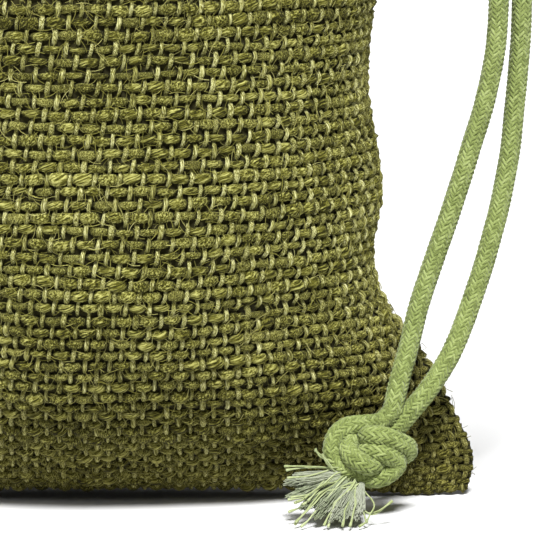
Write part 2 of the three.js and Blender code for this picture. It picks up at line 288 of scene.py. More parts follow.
def strand_tree():
    """Geometry nodes: each line of the wire mesh becomes a closed round strand."""
    tree, given = new_tree("strand", ("Sides", "Int"))
    curve = wired(tree, "GeometryNodeMeshToCurve", {"Mesh": given["Geometry"]}).outputs["Curve"]
    length = wired(tree, "GeometryNodeSplineParameter", {}).outputs["Length"]
    line = stored(tree, "along", curve, length, data_type="FLOAT")
    thickness = wired(tree, "GeometryNodeInputNamedAttribute", {"Name": "thickness"}).outputs["Attribute"]
    radius = {"Curve": line, "Radius": thickness}
    line = wired(tree, "GeometryNodeSetCurveRadius", radius).outputs["Curve"]
    ring = {"Radius": 1, "Resolution": given["Sides"]}
    ring = wired(tree, "GeometryNodeCurvePrimitiveCircle", ring).outputs["Curve"]
    place = wired(tree, "GeometryNodeInputPosition", {}).outputs["Position"]
    ring = stored(tree, "around", ring, place, data_type="FLOAT_VECTOR")
    return finish_tree(tree, given, swept(tree, line, ring, Scale=thickness))


def finish_tree(tree, given, geometry):
    """Every tree ends the same way: real geometry, smooth, with its material."""
    real = wired(tree, "GeometryNodeRealizeInstances", {"Geometry": geometry}).outputs["Geometry"]
    smooth = wired(tree, "GeometryNodeSetShadeSmooth", {"Geometry": real}).outputs["Geometry"]
    paint = wired(tree, "GeometryNodeSetMaterial", {"Geometry": smooth, "Material": given["Material"]})
    wired(tree, "NodeGroupOutput", {"Geometry": paint.outputs["Geometry"]})
    return tree


def grown(wire, tree, name, **values):
    """Run a tree on an object and keep the result as a plain mesh object at the origin."""
    modifier = wire.modifiers.new("grow", "NODES")
    modifier.node_group = tree
    for item in tree.interface.items_tree:
        if item.in_out == "INPUT" and item.name in values:
            modifier[item.identifier] = values[item.name]
    bpy.context.view_layer.update()
    graph = bpy.context.evaluated_depsgraph_get()
    mesh = bpy.data.meshes.new_from_object(wire.evaluated_get(graph))
    mesh.name = name
    piece = bpy.data.objects.new(name, mesh)
    bpy.context.collection.objects.link(piece)
    wire.modifiers.clear()
    return piece


def strands(name, paths, thickness, tone, finish, sides=6, crown=None):
    """A round strand along each path, from a wire mesh with each point's radius, tone and crown (a low
    crown gets painted shade).
    """
    counts = [len(p) for p in paths]
    points = np.concatenate(paths)
    first = np.cumsum([0] + counts[:-1])
    edges = [np.stack([np.arange(n - 1), np.arange(1, n)], 1) + s for n, s in zip(counts, first)]
    edges = np.concatenate(edges)
    mesh = bpy.data.meshes.new(name)
    mesh.vertices.add(len(points))
    mesh.vertices.foreach_set("co", points.astype(np.float32).ravel())
    mesh.edges.add(len(edges))
    mesh.edges.foreach_set("vertices", edges.astype(np.int32).ravel())
    for key, values in (("thickness", thickness), ("tone", tone), ("crown", crown or [1.0] * len(paths))):
        full = np.concatenate([np.broadcast_to(v, n) for v, n in zip(values, counts)])
        layer = mesh.attributes.new(key, "FLOAT", "POINT")
        layer.data.foreach_set("value", full.astype(np.float32))
    mesh.update()
    wire = bpy.data.objects.new(name + " wire", mesh)
    bpy.context.collection.objects.link(wire)
    piece = grown(wire, STRAND_TREE, name, Sides=sides, Material=finish)
    bpy.data.objects.remove(wire)
    return piece


# ---- curves in numbers

CURVE_SAMPLES = 24             # between two given points, before the even spacing


def smoothstep(t):
    t = np.clip(t, 0, 1)
    return t * t * (3 - 2 * t)


def between(a, b, start, end, t):
    """From a at start to b at end."""
    return ((end - t) * a + (t - start) * b) / (end - start)


def smooth_route(points, step):
    """Evenly spaced points, step apart, on a centripetal Catmull-Rom curve through the given ones."""
    p = np.asarray(points, float)
    p = np.vstack([2 * p[0] - p[1], p, 2 * p[-1] - p[-2]])
    dense = []
    for i in range(1, len(p) - 2):
        knots = np.cumsum([0] + [np.linalg.norm(p[i + k] - p[i + k - 1]) ** 0.5 for k in range(3)])
        t = np.linspace(knots[1], knots[2], CURVE_SAMPLES, endpoint=False)[:, None]
        a = [between(p[i + k - 1], p[i + k], knots[k], knots[k + 1], t) for k in range(3)]
        b = [between(a[k], a[k + 1], knots[k], knots[k + 2], t) for k in range(2)]
        dense.append(between(b[0], b[1], knots[1], knots[2], t))
    return resampled(np.vstack(dense + [p[-2][None]]), step)


def resampled(points, step):
    """The same line in steps as near as possible to the given one."""
    travel = np.concatenate([[0], np.cumsum(np.linalg.norm(np.diff(points, axis=0), axis=1))])
    stations = np.linspace(0, travel[-1], max(2, int(round(travel[-1] / step)) + 1))
    return np.stack([np.interp(stations, travel, points[:, k]) for k in range(3)], 1)


def path_length(points):
    return float(np.linalg.norm(np.diff(points, axis=0), axis=1).sum())


def frames_along(points):
    """Tangent and two side directions at each point, carried along without twisting."""
    tangent = np.gradient(points, axis=0)
    tangent /= np.linalg.norm(tangent, axis=1)[:, None]
    side = np.zeros_like(points)
    start = np.cross(tangent[0], [0.3, 1, 0.2])
    side[0] = start / np.linalg.norm(start)
    for i in range(1, len(points)):
        s = side[i - 1] - tangent[i] * side[i - 1].dot(tangent[i])
        side[i] = s / np.linalg.norm(s)
    return tangent, side, np.cross(tangent, side)


def wander(count, length, rng):
    """A smooth random line between about -1 and 1, with one free value every `length` samples."""
    knots = rng.uniform(-1, 1, count // length + 4)
    x = np.arange(count) / length + 1
    i = x.astype(int)
    t = smoothstep(x - i)
    return knots[i] * (1 - t) + knots[i + 1] * t


# ---- the drawstring

# The free ends' routes, from the side seam down to the knot, in millimetres.
RUN_FRONT = [
    [62, -3.3, 166.5], [65.6, -3.2, 165.4], [70.4, -3.2, 161], [74.2, -3.2, 153.5], [77, -3.2, 143],
    [78.8, -3.1, 130], [79.6, -3, 116], [79.5, -3, 102], [78.9, -3.2, 91], [76.9, -3.8, 80.6],
    [73.9, -4.4, 70.5], [70.8, -5.2, 60.5], [67.4, -6.8, 50.7], [64, -9, 40.9], [61.4, -12, 31.2],
    [59.9, -14.2, 26.2], [58.6, -16.6, 21.2],
]
RUN_BACK = [
    [62, 3.3, 166.5], [66.5, 3.2, 166.6], [72, 3, 164.4], [77, 2.6, 157.5], [80.8, 2.2, 147],
    [83.2, 1.8, 133], [84.4, 1.4, 117], [84.3, 1, 102], [83.9, 0.7, 90.4], [83, 0.2, 80],
    [82, -0.6, 70], [80.2, -1.8, 60.2], [77.6, -3.6, 50.3], [74.4, -6, 40.6], [70.4, -9.6, 31],
    [67.4, -12.2, 26.4], [64.2, -14.8, 22.4],
]
# The doubled overhand knot, measured from its middle: one cord makes the outer wrap and the lower
# bight, the other makes the inner wrap and the upper bight.
OUTER_CORD = [
    [4.4, 3.8, 6.4], [2.6, 3.4, 4.6], [0.4, 1.8, 4.7], [-2.4, 0, 5.3], [-5.2, -1.4, 4.5], [-7.2, -2.2, 2.5],
    [-7.7, -2.6, -0.3], [-6.2, -3, -2.4], [-3.4, -3.4, -3.3], [-0.4, -3.6, -2.8], [2.6, -3, -2.8],
    [5, -1.8, -3.2], [6, -1.2, -1.7], [4.6, -3, -0.5], [2.4, -4.4, 0.1], [0.2, -3.4, 0.4],
    [-1.8, -0.8, 0.3], [-3.4, 0.6, -1.4], [-5, -0.4, -3.2],
]
INNER_CORD = [
    [7, 4.6, 6.9], [4.2, 3.8, 4.3], [1.2, 2.4, 2.5], [-1.6, 0.8, 2.9], [-3.8, -1.6, 2.9],
    [-4.6, -4, 1.4], [-3.6, -5.4, -0.3], [-1.4, -5.6, -0.9], [1, -3.2, -1.2], [3.6, 0.2, -1.2],
    [6.6, 1.8, -1.2], [8.2, 0.4, -0.1], [7.6, -1.4, 1.8], [5.4, -3, 2.9], [2.4, -4.2, 3.5],
    [-0.4, -3.8, 3.4], [-1.4, -1, 2.1], [-0.6, 1.6, -0.3], [-1.4, 0.4, -3.2],
]
PATH_STEP = 0.5 * MM
CARRIERS = 12                  # strands to each hand in the braid
BRAID_LAY = 12.6 * MM          # length of one full turn of a strand
STRAND = 0.4 * MM              # a strand's radius
STRAND_DEPTH = 0.34 * MM       # how far its middle lies under the cord's surface
STRAND_WAVE = 0.13 * MM        # and how far it rises and dips from there
CORE_DEPTH = 0.5 * MM          # how far the filling lies under the cord's surface
KNOT_SQUASH = 0.9              # the pulled knot is lower than its loose route
KNOT_GAP = 0.8 * CORD          # the cords press into each other in the knot
KNOT_LEAD = 30                 # stations of a free end that the knot also presses on
KNOT_OVERLAP = 3 * MM          # where a free end runs on into the knot


def knot_middle():
    low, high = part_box("knot")
    return (Vector(low) + Vector(high)) / 2


def pushed_apart(routes, still, gap, rounds=90):
    """Move the knotted stretches of both cords until they lie beside each other."""
    counts = [len(r) for r in routes]
    p = np.vstack(routes)
    home = p.copy()
    owner = np.repeat([0, 1], counts)
    place = np.concatenate([np.arange(n) for n in counts])
    free = np.concatenate([np.arange(n) >= s for n, s in zip(counts, still)])
    near = np.where(np.concatenate([np.arange(n) >= s - KNOT_LEAD for n, s in zip(counts, still)]))[0]
    apart = (owner[near][:, None] != owner[near][None]) | (
        abs(place[near][:, None] - place[near][None]) > gap * 1.7 / PATH_STEP)
    for _ in range(rounds):
        q = p[near]
        way = q[:, None] - q[None]
        distance = np.linalg.norm(way, axis=2) + 1e-9
        overlap = np.where(apart, np.clip(gap - distance, 0, None), 0)
        push = (way / distance[..., None] * overlap[..., None]).sum(1)
        push /= np.maximum((overlap > 0).sum(1), 1)[:, None]
        move = np.zeros_like(p)
        move[near] = 0.5 * push
        move += 0.02 * (home - p)
        p[free] += move[free]
        start = 0
        for n, s in zip(counts, still):
            part = p[start:start + n]
            middle = (part[:-2] + part[2:]) / 2
            part[s + 1:-1] += 0.45 * (middle[s:] - part[s + 1:-1])
            start += n
    return np.split(p, [counts[0]])


def braid(route, first, last):
    """Strands woven two over two round the cord, half to each hand; the stretch between two stations."""
    tangent, side, up = frames_along(route)
    turn = np.arange(len(route)) * PATH_STEP / BRAID_LAY * 2 * math.pi
    middle = CORD / 2 - STRAND_DEPTH
    paths, shades = [], []
    for k in range(CARRIERS):
        for hand, start, lead in ((1, 0, 0), (-1, math.pi / CARRIERS, math.pi / 2)):
            angle = hand * turn + k * 2 * math.pi / CARRIERS + start
            weave = np.sin(turn * CARRIERS / 2 + k * math.pi + lead)
            lift = middle + STRAND_WAVE * hand * weave
            path = route + lift[:, None] * (np.cos(angle)[:, None] * side + np.sin(angle)[:, None] * up)
            paths.append(path[first:last])
            # Painted shade: a strand is darker where it dips under the other strands.
            shades.append((0.55 + 0.45 * hand * weave)[first:last])
    return paths, shades


def make_drawstring(finishes):
    middle = np.array(knot_middle())
    routes, stills = [], []
    for run, turns in ((RUN_FRONT, OUTER_CORD), (RUN_BACK, INNER_CORD)):
        lower = [list(np.array(point) * (1, 1, KNOT_SQUASH) * MM + middle) for point in turns]
        upper = [list(np.array(point) * MM) for point in run]
        routes.append(smooth_route(upper + lower, PATH_STEP))
        stills.append(len(smooth_route(upper, PATH_STEP)))
    routes = pushed_apart(routes, stills, KNOT_GAP)
    rng = np.random.default_rng(5)
    knot_paths, knot_shades, knot_tones = [], [], []
    runs = []
    for name, route, still in zip(("cord_front_end", "cord_back_end"), routes, stills):
        join = still + int(KNOT_OVERLAP / PATH_STEP)
        paths, shades = braid(route, 0, join)
        tones = list(rng.uniform(0, 1, len(paths)))
        cord = strands(name, paths, [STRAND] * len(paths), tones, finishes["cord"], 5, shades)
        centre = route[:join]
        runs.append((cord, centre))
        paths, shades = braid(route, join - 1, len(route))
        knot_paths += paths
        knot_shades += shades
        knot_tones += tones
    knot = strands("overhand_knot", knot_paths, [STRAND] * len(knot_paths), knot_tones,
                   finishes["cord"], 5, knot_shades)
    return runs, knot, [route[-1] for route in routes]


def cord_core(name, centre, finishes):
    """The filling inside the braid, so that no light passes between its strands."""
    # Crown 0 all along: the filling takes the cord's full painted dip shade.
    crown = [np.zeros(len(centre))]
    return strands(name, [centre], [CORD / 2 - CORE_DEPTH], [0.2], finishes["cord"], 10, crown)


def tunnel_cords(finishes):
    """The drawstring inside its tunnel: front and back runs, the left bend and the two leads."""
    height = RUN_FRONT[0][2]
    near, far = 28.6, 31.6
    width, depth = outline(height, "width"), outline(height, "depth")

    def arc(face, x0, x1, count):
        turns = np.linspace(math.acos(-x0 / width), math.acos(-x1 / width), count)
        return [[-width * math.cos(t), face * (depth * math.sin(t)), height] for t in turns]

    for face, label in ((-1, "front"), (1, "back")):
        bend = arc(face, -far, -57.95, 8)[:-1] + [[-58, 0, height]]
        way_out = [[57.6, face * 5, height], [59.6, face * 3.7, height], [62, face * 3.3, height]]
        stretches = [
            (f"tunnel_cord_{label}", f"cord_{label}", arc(face, -near, near, 9)),
            (f"tunnel_bend_{label}", "cord_left_bend", bend),
            (f"tunnel_lead_{label}", f"cord_lead_{label}", arc(face, far, 55.6, 6) + way_out),
        ]
        for name, node, points in stretches:
            route = smooth_route(np.array(points) * MM, PATH_STEP)
            paths, shades = braid(route, 0, len(route))
            radii, tones = [STRAND] * len(paths), [0.5] * len(paths)
            cord = strands(name, paths, radii, tones, finishes["cord"], 5, shades)
            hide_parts(node)
            drawn_in(cord)


# ---- the frayed ends

ROOT_REACH = 0.2               # how far the frayed ends go on inside the knot, share of their length


def brush(rng, root, tip, count, root_radius, tip_radius, wave):
    """Fine fibres that leave a cord end together and spread towards a blunt tip."""
    root, tip = np.array(root) * MM, np.array(tip) * MM
    root = root + ROOT_REACH * (root - tip)
    way = (tip - root) / np.linalg.norm(tip - root)
    side = np.cross(way, [0.1, 0.2, 1])
    side /= np.linalg.norm(side)
    up = np.cross(side, way)
    t = np.linspace(0, 1, 10)
    paths = []
    for _ in range(count):
        angle = rng.uniform(0, 2 * math.pi)
        out = math.sqrt(rng.uniform(0, 1))
        reach = rng.uniform(0.88, 1.02) * (1 - 0.3 * out * out)
        spread = (root_radius + (tip_radius - root_radius) * np.sin(t * math.pi / 2) ** 1.2) * out * MM
        radial = math.cos(angle) * side + math.sin(angle) * up
        path = root + np.outer(t * reach, tip - root) + spread[:, None] * radial
        path += (wander(10, 3, rng) * t * wave * MM)[:, None] * side
        path += (wander(10, 3, rng) * t * wave * MM)[:, None] * up
        sunk = max(0, 0.2 * MM - path[:, 2].min())
        path[:, 2] += sunk * t
        paths.append(path)
    return paths


# Soft core tufts, from the knot to the table top: root, tip, radius at the tip, fibres, paleness.
TUFTS = [
    ([46.4, -25.1, 9.1], [36.8, -28.2, 8.0], 1.5, 190, 0.75),
    ([46.2, -25.6, 7.9], [37.0, -29.2, 5.0], 1.0, 110, 0.45),
    ([47.4, -26.1, 7.1], [39.6, -32.0, 3.4], 1.3, 160, 0.3),
    ([48.4, -26.4, 6.7], [42.8, -34.4, 2.0], 1.6, 220, 0.35),
    ([49.8, -26.6, 6.3], [45.8, -35.8, 1.7], 1.3, 180, 0.8),
    ([50.8, -26.4, 6.1], [48.0, -35.6, 1.6], 1.0, 120, 0.6),
    ([52.0, -26.1, 6.5], [50.6, -35.0, 1.9], 1.4, 200, 0.9),
]
# Thin loose strands: root, a bend on the way and the tip.
LOOSE = [
    ([46.6, -25.1, 10.5], [42.0, -26.7, 11.1], [37.6, -27.3, 10.5]),
    ([46.4, -25.3, 9.9], [42.4, -27.3, 9.7], [37.6, -28.2, 9.5]),
    ([46.2, -25.0, 11.5], [44.4, -25.7, 12.5], [43.2, -25.6, 14.3]),
    ([47.0, -25.4, 9.9], [45.2, -27.0, 11.3], [44.2, -27.0, 13.1]),
    ([46.4, -25.7, 8.9], [42.6, -28.7, 6.3], [38.0, -30.0, 5.1]),
    ([46.8, -26.0, 8.3], [42.6, -29.7, 5.3], [38.2, -31.5, 2.7]),
    ([47.0, -26.3, 7.9], [43.8, -30.6, 5.7], [39.6, -33.8, 1.0]),
    ([48.0, -26.6, 7.5], [44.6, -31.5, 4.7], [40.6, -34.9, 0.9]),
    ([48.6, -26.7, 7.1], [43.0, -29.9, 5.7], [39.4, -31.6, 4.5]),
    ([49.6, -26.9, 6.7], [44.4, -29.7, 6.1], [40.8, -32.2, 4.5]),
    ([49.8, -27.0, 6.7], [46.8, -32.3, 4.5], [45.0, -35.8, 1.0]),
    ([50.6, -27.0, 6.3], [48.8, -32.6, 4.1], [48.4, -36.2, 0.9]),
    ([51.4, -26.9, 6.1], [50.4, -32.9, 4.3], [49.6, -35.9, 1.0]),
    ([52.4, -26.6, 6.3], [54.4, -30.9, 4.1], [53.4, -33.6, 1.9], [51.6, -35.1, 0.9]),
    ([51.8, -26.7, 6.1], [52.6, -30.2, 2.9], [54.8, -31.6, 2.7], [58.4, -31.2, 4.5]),
    ([52.0, -26.6, 6.3], [52.2, -31.3, 3.5], [53.0, -33.9, 1.0]),
    ([47.4, -26.4, 8.1], [44.2, -29.3, 7.5], [41.4, -31.8, 5.7]),
    ([50.2, -26.9, 6.5], [46.6, -30.7, 5.1], [43.4, -33.5, 2.3]),
]


# Where the last of each cord lets go of its fibres, under the knot.
STEM_TIPS = ([49.5, -25.8, 7.6], [47.2, -25, 8.8])
TUFT_FIBRE = 0.09 * MM         # radii of the fibres
STEM_FIBRE = 0.12 * MM


def make_frays(rng, ends, finishes):
    tufts, shades = [], []
    for root, tip, tip_radius, count, pale in TUFTS:
        tufts += brush(rng, root, tip, count, 0.5, tip_radius, 0.3)
        shades += list(np.clip(pale * 1.6 - 0.3 + rng.uniform(-0.25, 0.25, count), 0, 1.6))
    core = strands("frayed_core", tufts, [TUFT_FIBRE] * len(tufts), shades, finishes["core"], 4)
    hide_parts("frayed_end_left", "frayed_end_front")
    paths, radii = [], []
    for points in LOOSE + LOOSE[::2]:
        shifted = np.array(points) + rng.uniform(-0.5, 0.5, (len(points), 3))
        inside = shifted[0] + ROOT_REACH * (shifted[0] - shifted[-1])
        route = smooth_route(np.vstack([inside, shifted]) * MM, PATH_STEP)
        route += np.stack([wander(len(route), 4, rng) for _ in range(3)], 1) * 0.12 * MM
        route[:, 2] = np.maximum(route[:, 2], 0.3 * MM)
        end = np.linspace(0, 1, len(route))
        paths.append(route)
        radii.append((0.17 + 0.13 * np.clip((end - 0.88) / 0.08, 0, 1)) * MM)
    tones = list(rng.uniform(0, 1, len(paths)))
    loose = strands("frayed_strands", paths, radii, tones, finishes["strand"], 6)
    joins = []
    for end, tip in zip(ends, STEM_TIPS):
        joins += brush(rng, end / MM, tip, 60, 1.4, 1.5, 0.1)
    tones = list(rng.uniform(0, 1, len(joins)))
    stems = strands("frayed_stems", joins, [STEM_FIBRE] * len(joins), tones, finishes["strand"], 4)
    for piece in (core, loose, stems):
        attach(piece, PULL)
    return [core, loose, stems]


# ---- the shape of the bag

# Height, half width, half depth and the power that thins the corners, in millimetres.
OUTLINE = {
    "z": [0, 8, 16, 27, 40, 50, 62, 84, 110, 150, 166.5, 208],
    "width": [73.6, 75, 71.8, 66, 56.4, 53.9, 55.6, 52.8, 55, 57, 58, 61],
    "depth": [5, 15.5, 24, 31.5, 37, 39.3, 40, 40, 38.5, 30.5, 28, 31],
    "power": [3, 2.6, 2.2, 1.6, 1.15, 1, 1, 1, 1, 1, 1, 1],
}


def outline(height, column):
    """Smooth value of one outline column at a height or heights."""
    z = np.array(OUTLINE["z"], float)
    v = np.array(OUTLINE[column], float)
    i = np.clip(np.searchsorted(z, height, side="right") - 1, 0, len(z) - 2)
    before, after = np.maximum(i - 1, 0), np.minimum(i + 2, len(z) - 1)
    span = z[i + 1] - z[i]
    t = (height - z[i]) / span
    slope_a = (v[i + 1] - v[before]) / (z[i + 1] - z[before]) * span
    slope_b = (v[after] - v[i]) / (z[after] - z[i]) * span
    rise = v[i + 1] - v[i]
    curve = 3 * rise - 2 * slope_a - slope_b + t * (slope_a + slope_b - 2 * rise)
    return v[i] + t * (slope_a + t * curve)


LIFT = 1.6                     # the cloth's middle above the table, mm
FOOT_RISE = 1.9                # and how much higher it hangs between the two corners
LEAN = 0.085                   # how far the warps slide to the right on the way up, share of the width
FOLD_TOP = 206.5               # where the cloth turns in at the mouth
FOLD_RADIUS = 1.3
FACING_END = 157               # and where it ends inside
SEAM_GAP = 0.3                 # from the middle plane to the cloth's edge, mm
TUNNEL = (157.5, 171.5)        # the drawstring's tunnel stands out between these heights
TUNNEL_EDGE = 4                # and reaches its full depth over this height
SWELL_OUT, SWELL_IN = 3.3, -1.0    # of the outer cloth and of the facing, mm


# The hem band of each side starts where the cloth rises above DRAW_LINE.
DRAW_LINE = 157.4              # height of the tunnel's lower edge, mm


def drawn_in(piece):
    """Bake a piece of one side into its mesh where it stands."""
    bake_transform(piece)


BASE_SAMPLES = 24
CORNER_SAMPLES = slice(8, 60)  # where the base turns up into the side, which is rounded
ROUNDING = 15                  # samples


def cloth_walk():
    """Height, depth share and inset of the cloth from the bottom seam, over the top and down inside."""
    base = np.linspace(0, 1, BASE_SAMPLES)
    rise = np.linspace(LIFT, FOLD_TOP, 420)[1:]
    turn = np.linspace(0, math.pi, 14)[1:]
    down = np.linspace(FOLD_TOP, FACING_END, 100)[1:]
    flat = np.full(BASE_SAMPLES, LIFT)
    z = np.concatenate([flat, rise, FOLD_TOP + FOLD_RADIUS * np.sin(turn), down])
    share = np.concatenate([base, np.ones(len(z) - BASE_SAMPLES)])
    inset = np.concatenate([np.zeros(BASE_SAMPLES + len(rise)), FOLD_RADIUS * (1 - np.cos(turn)),
                            np.full(len(down), 2 * FOLD_RADIUS)])
    depth = outline(z, "depth") * share - inset
    kernel = np.hanning(ROUNDING)
    kernel /= kernel.sum()
    for values in (z, share):
        soft = np.convolve(np.pad(values, ROUNDING // 2, mode="edge"), kernel, mode="valid")
        values[CORNER_SAMPLES] = soft[CORNER_SAMPLES]
    travel = np.concatenate([[0], np.cumsum(np.hypot(np.diff(depth), np.diff(z)))])
    rows = int(travel[-1] / (WEFT_PITCH / MM))
    stations = np.linspace(0, travel[-1], rows * STEPS + 1)
    return [np.interp(stations, travel, values) for values in (z, share, inset)]


def cloth_grid(face):
    """Middle surface of one panel, a point for every quarter of a yarn crossing, with its normals."""
    z, share, inset = cloth_walk()
    columns = int(CLOTH_WIDTH / WARP_PITCH) * STEPS + 1
    turns = np.linspace(0, math.pi, 241)
    width = outline(z, "width")[:, None]
    depth = (outline(z, "depth") * share)[:, None]
    x = -width * np.cos(turns)[None]
    y = depth * np.sin(turns)[None] ** outline(z, "power")[:, None]
    travel = np.concatenate([np.zeros((len(z), 1)), np.cumsum(np.hypot(np.diff(x), np.diff(y)), 1)], 1)
    travel /= travel[:, -1:]
    across = np.linspace(0, 1, columns)
    lean = LEAN * smoothstep((z - 15) / 120)[:, None] * (1 - (2 * across - 1) ** 2)[None]
    x = np.stack([np.interp(across + slide, a, b) for slide, a, b in zip(lean, travel, x)])
    y = np.stack([np.interp(across + slide, a, b) for slide, a, b in zip(lean, travel, y)])
    foot = FOOT_RISE * np.clip(1 - z / 22, 0, 1)[:, None] * np.clip(1 - (x / 62) ** 4, 0, 1)
    grid = np.stack([x, face * (y + SEAM_GAP), z[:, None] + foot], 2)
    normal = grid_normals(grid, face, inset)
    grid += normal * (relief(across, z, inset, face) - inset[:, None])[..., None]
    return grid * MM, grid_normals(grid, face, inset)


def grid_normals(grid, face, inset):
    """Outward normals, also on the facing, where the cloth runs down on the inside."""
    down = np.gradient(grid, axis=0)
    across = np.gradient(grid, axis=1)
    normal = np.cross(across, down) * (1 if face < 0 else -1)
    normal /= np.linalg.norm(normal, axis=2)[..., None] + 1e-12
    normal[inset > FOLD_RADIUS] *= -1
    return normal


def relief(across, z, inset, face):
    """How far the cloth stands out of its plain outline: lumps, gathers and the drawstring's tunnel."""
    u = across[None] * 2 - 1
    h = z[:, None]
    away_from_seam = 1 - np.abs(u) ** 3
    lumps = 0.9 * np.sin(4.1 * u + 0.045 * h + face) + 0.6 * np.sin(7.3 * u - 0.071 * h + 2 * face)
    lumps += 0.35 * np.sin(13 * u + 0.12 * h)
    belly = smoothstep((h - 4) / 30) * (1 - smoothstep((h - 110) / 40))
    gather = 1.3 * smoothstep((h - 118) / 36) + 1.5 * smoothstep((h - 176) / 30)
    folds = np.sin(19 * u + 1.3 * face) + 0.6 * np.sin(31 * u + 0.02 * h - face) + 0.4 * np.sin(47 * u)
    tunnel = smoothstep((h - TUNNEL[0]) / TUNNEL_EDGE) * (1 - smoothstep((h - TUNNEL[1]) / TUNNEL_EDGE))
    swell = np.where(inset[:, None] < FOLD_RADIUS, SWELL_OUT, SWELL_IN) * tunnel
    return (lumps * belly + 0.62 * gather * folds) * away_from_seam + swell


def at(grid, row, column):
    """The grid's value between its points."""
    row = np.clip(row, 0, grid.shape[0] - 1.001)
    column = np.clip(column, 0, grid.shape[1] - 1.001)
    r, c = row.astype(int), column.astype(int)
    fr, fc = (row - r)[:, None], (column - c)[:, None]
    top = grid[r, c] * (1 - fc) + grid[r, c + 1] * fc
    low = grid[r + 1, c] * (1 - fc) + grid[r + 1, c + 1] * fc
    return top * (1 - fr) + low * fr


# ---- the weave

# Radius and crimp in mm, slubs and pinch at the crossings as shares of the radius, and how thin and
# fat single yarns get.
SPUN = {"warp": (0.44, 0.8, 0.2, 0.08, 0.85, 1.15), "weft": (0.9, 0.54, 0.24, 0.14, 0.78, 1.12)}


def yarns(grid, normal, rng, kind):
    """All the warp or weft yarns of a piece of cloth, plain woven, with wander and slubs."""
    rows, columns = grid.shape[:2]
    warp = kind == "warp"
    count = (columns if warp else rows) // STEPS
    length = rows if warp else columns
    radius, crimp, slub, pinch, thin, fat = SPUN[kind]
    line = np.arange(length, dtype=float)
    seam = np.minimum(line, length - 1 - line) / (3 * STEPS)
    calm = 1 if warp else 0.35 + 0.65 * smoothstep(seam)
    paths, thickness, tones, crowns = [], [], [], []
    for k in range(count):
        sway = 0.55 * wander(length, 22, rng) + 0.3 * wander(length, 7, rng)
        place = (k + 0.5) * STEPS + sway
        row, column = (line, place) if warp else (place, line)
        wave = np.cos(math.pi * (line / STEPS - 0.5)) * (-1) ** k * (1 if warp else -1)
        point = at(grid, row, column) + at(normal, row, column) * (wave * calm * crimp * MM)[:, None]
        slubs = 1 + slub * wander(length, 14, rng) + 0.5 * slub * wander(length, 5, rng)
        size = rng.uniform(thin, fat)
        point[:, 2] = np.maximum(point[:, 2], 0.9 * radius * MM)
        paths.append(point)
        around = np.clip(radius * size * slubs, 0.28, 1.35) * calm ** 0.5
        thickness.append(around * (1 + pinch * wave) * MM)
        shade = 0.5 + 0.6 * (1 - size) + 0.2 * rng.uniform(-1, 1) + 0.3 * wander(length, 10, rng)
        tones.append(np.clip(shade, 0, 1))
        # Crown: 1 over a crossing and 0 in the dip, where the finish paints shade.
        crowns.append(0.5 + 0.5 * wave)
    return paths, thickness, tones, crowns


def cut(lists, first, last, across):
    """Keep the part of every yarn, or the yarns, between two rows of the cloth."""
    if across:
        return [values[first // STEPS:last // STEPS] for values in lists]
    return [[v[first:min(last + 1, len(v))] for v in values] for values in lists]


def grid_faces(rows, columns):
    """The numbers of a grid's points, and its quads."""
    index = np.arange(rows * columns).reshape(rows, columns)
    quads = np.stack([index[:-1, :-1], index[:-1, 1:], index[1:, 1:], index[1:, :-1]], -1)
    return index, quads.reshape(-1, 4)


def mesh_piece(name, points, faces):
    mesh = bpy.data.meshes.new(name)
    mesh.from_pydata(points.reshape(-1, 3).tolist(), [], faces.tolist())
    piece = bpy.data.objects.new(name, mesh)
    bpy.context.collection.objects.link(piece)
    return piece


GAP_SHADE_DEPTH = (0.35 * MM, 0.6 * MM)    # the shade sheet's two faces, behind the yarns' middle


def gap_shade_sheet(name, grid, normal, finish):
    """A thin closed sheet just behind the yarns' middle: painted shade for the cloth's gaps."""
    g = grid[::STEPS, ::STEPS]
    n = normal[::STEPS, ::STEPS]
    index, quads = grid_faces(*g.shape[:2])
    far = index.size
    edge = np.concatenate([index[0, :], index[1:, -1], index[-1, -2::-1], index[-2:0:-1, 0]])
    rim = np.stack([np.roll(edge, -1), edge, edge + far, np.roll(edge, -1) + far], 1)
    points = np.concatenate([(g - n * depth).reshape(-1, 3) for depth in GAP_SHADE_DEPTH])
    faces = np.concatenate([quads, quads[:, ::-1] + far, rim])
    a, b, c, d = (points[faces[:, k]] for k in range(4))
    inside_out = (a * (np.cross(b, c) + np.cross(c, d))).sum() < 0
    sheet = mesh_piece(name, points, faces)
    sheet.data.validate()
    if inside_out:
        sheet.data.flip_normals()
    sheet.data.polygons.foreach_set("use_smooth", [True] * len(sheet.data.polygons))
    sheet.data.materials.append(finish)
    return sheet


def random_number(tree, low, high, seed):
    inputs = {"Seed": seed, 2: low, 3: high}
    return wired(tree, "FunctionNodeRandomValue", inputs, data_type="FLOAT").outputs[1]


# A fibre's shape in units of its length: start, middle and end.
HAIR = {"Start": (-0.5, 0, 0), "Middle": (0.1, 0.14, 0.16), "End": (0.6, -0.1, 0.05)}
HAIR_LENGTH = 1.9 * MM
HAIR_RADIUS = 0.021            # share of its length
FUZZ_HEIGHT = 0.8 * MM         # of the fibres' roots over the cloth's middle


